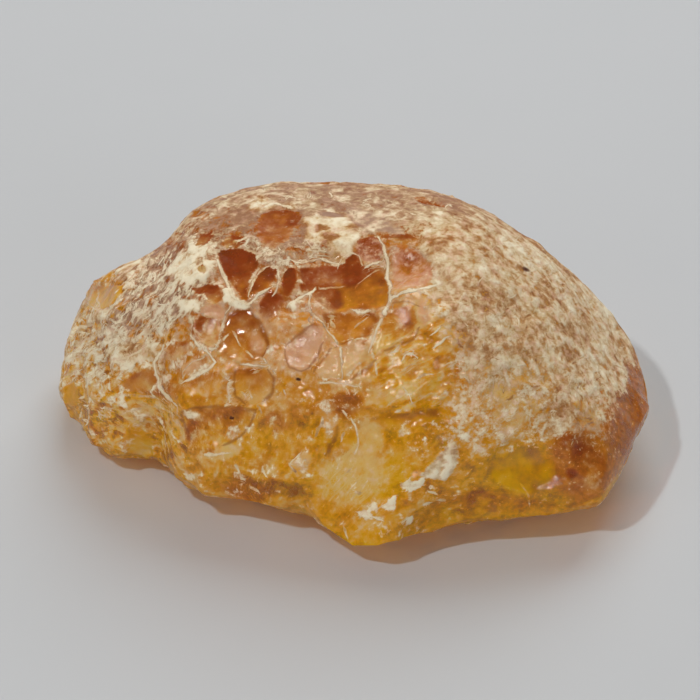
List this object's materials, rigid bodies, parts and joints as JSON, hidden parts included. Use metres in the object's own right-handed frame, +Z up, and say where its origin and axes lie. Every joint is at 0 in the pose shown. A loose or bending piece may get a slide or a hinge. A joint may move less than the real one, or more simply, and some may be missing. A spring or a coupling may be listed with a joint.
{
  "type": "raw amber",
  "caption": "Rough lump of see-through fossil resin with a thin pale worn crust, a low dome with flaked windows, that lies on a small flat spot.",
  "frame": {"origin": "middle of the lump's box seen from above, on the surface that it lies on", "axes": "+X along the lump towards its blunt nose, -Y towards its worn front, +Z up from the resting spot"},
  "size_m": [0.06, 0.0456, 0.0261],
  "materials": {
    "amber": "see-through orange-yellow resin, glossy in flaked windows, under a thin matt cream crust and cream veins"
  },
  "bodies": {
    "root": {"raw_amber": "amber"}
  },
  "joints": []
}
